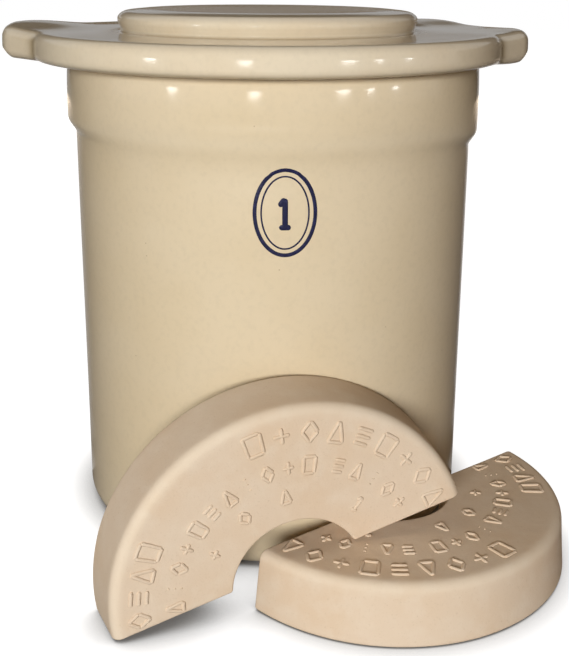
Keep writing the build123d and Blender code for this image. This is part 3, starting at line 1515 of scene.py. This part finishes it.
    def build(self, name: str, node: str, body: str, stand: Matrix, bisque: bpy.types.Material) -> list:
        """Makes the weight and its relief where they rest.

        Args:
            name: The start of the pieces' names.
            node: The node that the weight stands for.
            body: The body that it rides on.
            stand: From the half ring's own axes to the frame, in millimetres.
            bisque: The finish.

        Returns:
            The two pieces.
        """
        turn, shift = np.array(stand.to_3x3()), np.array(stand.translation)
        pieces = []
        for part, skin in (("clay", self.fettled()), ("relief", self.relief())):
            marks = self.marks(skin.points)
            skin.points = skin.points @ turn.T + shift
            pieces.append(make_piece(f"{name}_{part}", skin, body, [bisque], marks=marks))
        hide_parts(node)
        against_node(pieces[0], node)
        return pieces


@dataclass
class Resting:
    """Where the two weights rest: turns in degrees, slips along a weight's straight face."""

    ring: HalfRing
    touch_gap: float = 0.3
    flat_turn: float = 37.1
    flat_slip: float = 0.3
    flat_stand: float = 0.6
    lean_turn: float = 18.4
    lean_slip: float = 28.5

    @staticmethod
    def stand(along: Vector, up: Vector, origin: Vector) -> Matrix:
        """Makes a matrix from two of its axes.

        Args:
            along: Its X axis.
            up: Its Z axis.
            origin: Its origin.

        Returns:
            The matrix.
        """
        side = up.cross(along)
        matrix = Matrix((along, side, up)).transposed().to_4x4()
        matrix.translation = origin
        return matrix

    def flat(self) -> Matrix:
        """Places the weight that lies on the table, its straight face towards the crock.

        Returns:
            From the half ring's own axes to the frame, in millimetres.
        """
        turn, pot = radians(self.flat_turn), self.ring.crock
        along, out = Vector((-cos(turn), -sin(turn), 0.0)), Vector((sin(turn), -cos(turn), 0.0))
        origin = out * (pot.foot_radius + self.flat_stand - self.ring.half_gap) + along * self.flat_slip
        return self.stand(along, Vector((0.0, 0.0, 1.0)), origin)

    def leaning(self) -> Matrix:
        """Places the weight that stands with its back to the wall.

        One foot is on the table and one on the flat weight. It leans by the wall's slope and
        rolls by the angle whose sine is the flat weight's thickness over the distance between
        its two feet.

        Returns:
            From the half ring's own axes to the frame, in millimetres.
        """
        turn, pot = radians(self.lean_turn), self.ring.crock
        slope, upright = pot.wall_slope, Vector((0.0, 0.0, 1.0))
        feet = self.ring.outer_half + self.ring.bore_half
        roll = asin((self.ring.thickness + self.touch_gap) / feet / cos(slope))
        level, out = Vector((cos(turn), sin(turn), 0.0)), Vector((sin(turn), -cos(turn), 0.0))
        up = upright * cos(slope) - out * sin(slope)
        face = out * cos(slope) + upright * sin(slope)
        along = level * cos(roll) + up * sin(roll)
        origin = out * (pot.foot_radius + self.touch_gap) - level * self.lean_slip
        stand = self.stand(along, face, origin)
        points = self.ring.body().points @ np.array(stand.to_3x3()).T + np.array(origin)
        stand.translation = origin - up * (points[:, 2].min() / cos(slope))
        return stand


@dataclass
class SizeMark:
    """The stamp on the wall: a plain upright oval with the numeral one, for the size in gallons."""

    crock: Crock
    height: float = 161.5
    turn: float = 0.052
    half_width: float = 12.1
    half_height: float = 17.2
    outer_line: float = 0.8
    inner_gap: float = 2.6
    inner_line: float = 0.35
    oval_points: int = 120
    numeral_height: float = 14.0
    numeral_width: float = 7.0
    numeral_line: float = 1.15
    raised: float = 0.06
    sunk: float = 0.25

    def strokes(self) -> list:
        """Draws the stamp's lines flat.

        Returns:
            Its strokes.
        """
        lines = figure(
            Motif.ONE, self.numeral_width, self.numeral_height, self.numeral_line, self.raised, self.sunk
        )
        for inset, half_line in ((self.inner_gap, self.inner_line), (0.0, self.outer_line)):
            path = oval((0, 0), (self.half_width - inset, self.half_height - inset), self.oval_points)
            lines.insert(0, Stroke(path, half_line, self.raised, self.sunk, True))
        return lines

    def on_wall(self, u: np.ndarray, v: np.ndarray, lift: np.ndarray) -> np.ndarray:
        """Wraps flat points round the wall: u is an arc to the right, v is up and lift is outwards."""
        return self.crock.wall_point(self.turn + u / self.crock.top_radius, self.height + v, lift)

    def build(self, cobalt: bpy.types.Material) -> bpy.types.Object:
        """Makes the stamp on the wall.

        Args:
            cobalt: The finish.

        Returns:
            The stamp.
        """
        skin = joined([s.skin(self.on_wall) for s in self.strokes()])
        return make_piece("size_mark", skin, "crock_body", [cobalt])


# Studio

@dataclass(frozen=True)
class Camera:
    """The photograph's viewpoint, in millimetres and degrees."""

    distance: float = 486.8
    height: float = 253.7
    yaw: float = 0.704
    pitch: float = 19.57
    roll: float = 0.42
    focal_pixels: float = 1018.0
    image_height: float = 656.0
    sensor: float = 36.0

    def build(self) -> None:
        """Makes the camera and gives it to the scene."""
        yaw, pitch, roll = radians(self.yaw), radians(self.pitch), radians(self.roll)
        ahead = Vector((sin(yaw) * cos(pitch), cos(yaw) * cos(pitch), -sin(pitch)))
        right = Vector((cos(yaw), -sin(yaw), 0.0))
        up = right.cross(ahead)
        right, up = right * cos(roll) + up * sin(roll), up * cos(roll) - right * sin(roll)
        matrix = Matrix((right, up, -ahead)).transposed().to_4x4()
        matrix.translation = Vector((0.0, -self.distance, self.height)) * MM
        data = bpy.data.cameras.new("camera")
        data.sensor_width = self.sensor
        data.lens = self.sensor * self.focal_pixels / self.image_height
        data.clip_start, data.clip_end = 0.01, 50.0
        camera = bpy.data.objects.new("camera", data)
        camera.matrix_world = matrix
        bpy.context.scene.collection.objects.link(camera)
        bpy.context.scene.camera = camera


@dataclass(frozen=True)
class Lamp:
    """An oval soft lamp that faces the crock: where it stands, how large and how strong it is."""

    name: str
    azimuth: float
    elevation: float
    distance: float
    width: float
    height: float
    power: float
    colour: str = "#FFFFFF"
    aim_height: float = 0.1
    seen_in_glaze: bool = True
    lights_clay: bool = True

    def build(self) -> None:
        """Makes the lamp. Azimuth 0 is behind the camera, and it grows to the right."""
        azimuth, elevation = radians(self.azimuth), radians(self.elevation)
        away = Vector((sin(azimuth) * cos(elevation), -cos(azimuth) * cos(elevation), sin(elevation)))
        data = bpy.data.lights.new(self.name, "AREA")
        data.shape, data.size, data.size_y = "ELLIPSE", self.width, self.height
        data.energy, data.color = self.power, linear(self.colour)[:3]
        lamp = bpy.data.objects.new(self.name, data)
        lamp.location = Vector((0.0, 0.0, self.aim_height)) + away * self.distance
        lamp.rotation_mode = "QUATERNION"
        lamp.rotation_quaternion = away.to_track_quat("Z", "Y")
        lamp.visible_camera = False
        lamp.visible_glossy = self.seen_in_glaze
        lamp.visible_diffuse = self.lights_clay
        bpy.context.scene.collection.objects.link(lamp)


@dataclass(frozen=True)
class Card:
    """An upright glowing card that only the glaze sees, painting a reflection, in metres: where it stands,
    its size and its colour.
    """

    name: str
    azimuth: float
    distance: float
    half_width: float
    low: float
    high: float
    colour: str

    def build(self) -> None:
        """Makes the card. Azimuth 0 is behind the camera, and it grows to the right."""
        azimuth = radians(self.azimuth)
        away = np.array([sin(azimuth), -cos(azimuth)]) * self.distance
        side = np.array([cos(azimuth), sin(azimuth)]) * self.half_width
        feet = (away - side).tolist(), (away + side).tolist()
        corners = [(*feet[0], self.low), (*feet[1], self.low), (*feet[1], self.high), (*feet[0], self.high)]
        mesh = bpy.data.meshes.new(self.name)
        mesh.from_pydata(corners, [], [(0, 1, 2, 3)])
        material, tree, output = new_material(f"glaze_only_glow_{self.name}")
        # The card glows with its own colour but lights nothing, so it is a painted reflection in the glaze
        glow = add_node(tree, "ShaderNodeEmission", None, {"Color": linear(self.colour), "Strength": 1.0})
        tree.links.new(glow.outputs[0], output.inputs["Surface"])
        mesh.materials.append(material)
        card = bpy.data.objects.new(self.name, mesh)
        card.visible_camera = card.visible_diffuse = card.visible_shadow = card.visible_transmission = False
        bpy.context.scene.collection.objects.link(card)


@dataclass(frozen=True)
class Studio:
    """A pale floor and surround with what stands round them.

    Glowing cards that only the glaze sees paint its reflections, a key lamp stands near the camera,
    weak lamps fill the side and the back, and small lamps only glint.
    """

    # The floor in metres, and how bright the camera and the glaze see it
    floor_half: float = 4.0
    floor_drop: float = 0.0002
    floor_colour: str = "#9A9A9A"
    floor_glow: float = 1.0
    shade_range: tuple = (0.28, 0.84)
    shade_reach: float = 0.025
    shade_samples: int = 16
    floor_steps: int = 90
    floor_crowding: float = 1.5
    floor_in_glaze: float = 0.38
    lit_right: tuple = (0.36, 0.56)
    lit_left: tuple = (0.1, 0.95)
    crock_half: float = 0.093

    # The surround's strength as light and in the glaze
    surround: float = 0.09
    surround_colour: str = "#FFDFB4"
    surround_in_glaze: float = 0.44

    # What stands round the crock
    cards: tuple = (
        Card("rear_card", 180.0, 2.0, 1.5, 0.2, 0.34, "#68573F"),
        Card("rear_flag", 180.0, 2.2, 1.6, 0.62, 2.2, "#4A3E30"),
        Card("right_flag", 123.0, 2.3, 1.1, -0.4, 0.9, "#2E251C"),
        Card("left_flag", -121.0, 2.3, 1.15, -0.4, 0.9, "#3A3026"),
    )
    lamps: tuple = (
        Lamp("key_lamp", -9.5, 13.8, 1.8, 0.7, 0.4, 28.8, seen_in_glaze=False),
        Lamp("warm_fill", 75.0, 8.0, 1.9, 1.2, 0.8, 0.5, "#FF8A60", seen_in_glaze=False),
        Lamp("rear_fill_right", 154.0, 4.0, 1.8, 0.6, 0.6, 7.0, "#FFE6C8", seen_in_glaze=False),
        Lamp("rear_fill_left", -154.0, 4.0, 1.8, 0.6, 0.6, 8.0, "#FFE6C8", seen_in_glaze=False),
        Lamp("glint_far_left", -53.0, 1.0, 2.0, 0.20, 0.08, 0.7, aim_height=0.2, lights_clay=False),
        Lamp("glint_front", -9.5, 1.0, 2.0, 0.22, 0.07, 0.65, aim_height=0.2, lights_clay=False),
        Lamp("glint_right", 36.0, 1.4, 2.0, 0.26, 0.07, 0.8, aim_height=0.2, lights_clay=False),
        Lamp("glint_far_right", 51.0, 1.4, 2.0, 0.14, 0.08, 0.5, aim_height=0.2, lights_clay=False),
        Lamp("glint_edge", 66.0, 1.4, 2.0, 0.14, 0.08, 0.5, aim_height=0.2, lights_clay=False),
    )

    def world(self) -> None:
        """Makes the surround.

        It is white to the camera, a pale grey in the glaze, and dimmer and warmer as light.
        """
        world = bpy.data.worlds.new("surround")
        bpy.context.scene.world = world
        world.use_nodes = True
        tree = world.node_tree
        tree.nodes.clear()
        ray = add_node(tree, "ShaderNodeLightPath").outputs
        higher = {"operation": "MAXIMUM"}
        mirrored = add_node(tree, "ShaderNodeMath", higher,
                            {0: ray["Is Glossy Ray"], 1: ray["Is Transmission Ray"]})
        light = add_node(tree, "ShaderNodeMapRange", {"clamp": True},
                         {"Value": mirrored, "To Min": self.surround, "To Max": self.surround_in_glaze})
        level = add_node(tree, "ShaderNodeMath", higher, {0: light, 1: ray["Is Camera Ray"]})
        seen = add_node(tree, "ShaderNodeMath", higher, {0: mirrored, 1: ray["Is Camera Ray"]})
        colour = layered(tree, self.surround_colour, ((seen, "#FFFFFF"),))
        sky = add_node(tree, "ShaderNodeBackground", None, {"Color": colour, "Strength": level})
        output = add_node(tree, "ShaderNodeOutputWorld")
        tree.links.new(sky.outputs[0], output.inputs["Surface"])

    def lit_behind(self, points: np.ndarray) -> np.ndarray:
        """Works out how bright the floor is in the glaze: lit behind the crock, more so to the left.

        With t the distance out from the crock's side over the distance behind its axis, the
        light falls off smoothly as t grows, and there is none in front.

        Args:
            points: Floor points, in metres.

        Returns:
            The brightness at each point.
        """
        x, y = points[:, 0], points[:, 1]
        out = (abs(x) - self.crock_half) / np.maximum(y, MM)
        fall = np.where(x > 0.0, smooth_step(*self.lit_right, out), smooth_step(*self.lit_left, out))
        return self.floor_in_glaze * (1.0 - fall) * (y > 0.0)

    def paper(self) -> bpy.types.Material:
        """Makes the floor's finish.

        It is matte and pale, with a glow that the camera and the glaze see and clay is not lit
        by. The camera's glow fades beside what stands on the floor, so the contact and the cast
        shadow stay.

        Returns:
            The material, which reads the points' lit_behind value.
        """
        material, tree, output = new_material("pale_paper_floor")
        ray = add_node(tree, "ShaderNodeLightPath").outputs
        mirrored = add_node(tree, "ShaderNodeAttribute", {"attribute_name": "lit_behind"}).outputs["Fac"]
        open_sky = add_node(tree, "ShaderNodeAmbientOcclusion", {"samples": self.shade_samples},
                            {"Distance": self.shade_reach}).outputs["AO"]
        shown = add_node(tree, "ShaderNodeMapRange", {"clamp": True}, {
            "Value": open_sky, "From Min": self.shade_range[0], "From Max": self.shade_range[1],
            "To Min": 0.0, "To Max": self.floor_glow,
        })
        times = {"operation": "MULTIPLY"}
        for_camera = add_node(tree, "ShaderNodeMath", times, {0: ray["Is Camera Ray"], 1: shown})
        for_glaze = add_node(tree, "ShaderNodeMath", times, {0: ray["Is Glossy Ray"], 1: mirrored})
        level = add_node(tree, "ShaderNodeMath", {"operation": "ADD"}, {0: for_camera, 1: for_glaze})
        matte = add_node(tree, "ShaderNodeBsdfDiffuse", None, {"Color": linear(self.floor_colour)})
        glow = add_node(tree, "ShaderNodeEmission", None, {"Color": linear("#FFFFFF"), "Strength": level})
        both = add_node(tree, "ShaderNodeAddShader", None, {0: matte, 1: glow})
        tree.links.new(both.outputs[0], output.inputs["Surface"])
        return material

    def floor(self) -> None:
        """Makes the floor.

        Its points are the half size times s * |s|^1.5 both ways for s from -1 to 1, so they
        crowd round the crock.
        """
        s = np.linspace(-1.0, 1.0, self.floor_steps + 1)
        across = self.floor_half * s * abs(s) ** self.floor_crowding
        x, y = (a.ravel() for a in np.meshgrid(across, across, indexing="ij"))
        points = np.stack([x, y, np.full(len(x), -self.floor_drop)], 1)
        corner = np.arange(len(points)).reshape(len(s), len(s))
        quads = np.stack([corner[:-1, :-1], corner[1:, :-1], corner[1:, 1:], corner[:-1, 1:]], -1)
        mesh = bpy.data.meshes.new("floor")
        mesh.from_pydata(points.tolist(), [], quads.reshape(-1, 4).tolist())
        layer = mesh.attributes.new("lit_behind", "FLOAT", "POINT")
        layer.data.foreach_set("value", self.lit_behind(points).astype(np.float32))
        mesh.materials.append(self.paper())
        floor = bpy.data.objects.new("floor", mesh)
        bpy.context.scene.collection.objects.link(floor)

    def build(self) -> None:
        """Makes the surround, the floor, the cards and the lamps."""
        bpy.context.scene.view_settings.view_transform = "Standard"
        self.world()
        self.floor()
        for part in (*self.cards, *self.lamps):
            part.build()


def main() -> None:
    """Builds the crock, its lid, its weights, its mark and the studio in order."""
    logging.basicConfig(level=logging.INFO, format="%(name)s: %(message)s")
    glaze, bisque, cobalt = ClearGlaze().material(), Bisque().material(), CobaltUnderglaze().material()
    # The lid's glaze has a darker colour for pooled glaze, which also paints the shade line under its flange
    # and at the disc's foot
    pale_glaze = ClearGlaze(
        "clear_glazed_pale_stoneware", "#DED0B6", "#DBCAAD", "#8E7850", "#EADECA"
    ).material()
    pot = Crock()
    pot.build(glaze, bisque)
    SizeMark(pot).build(cobalt)
    Lid(pot).build(pale_glaze, bisque)
    ring = HalfRing(pot)
    resting = Resting(ring)
    ring.build("flat_weight", "weight_flat", "weight_flat_body", resting.flat(), bisque)
    ring.build("leaning_weight", "weight_leaning", "weight_leaning_body", resting.leaning(), bisque)
    Camera().build()
    Studio().build()


if __name__ == "__main__":
    main()
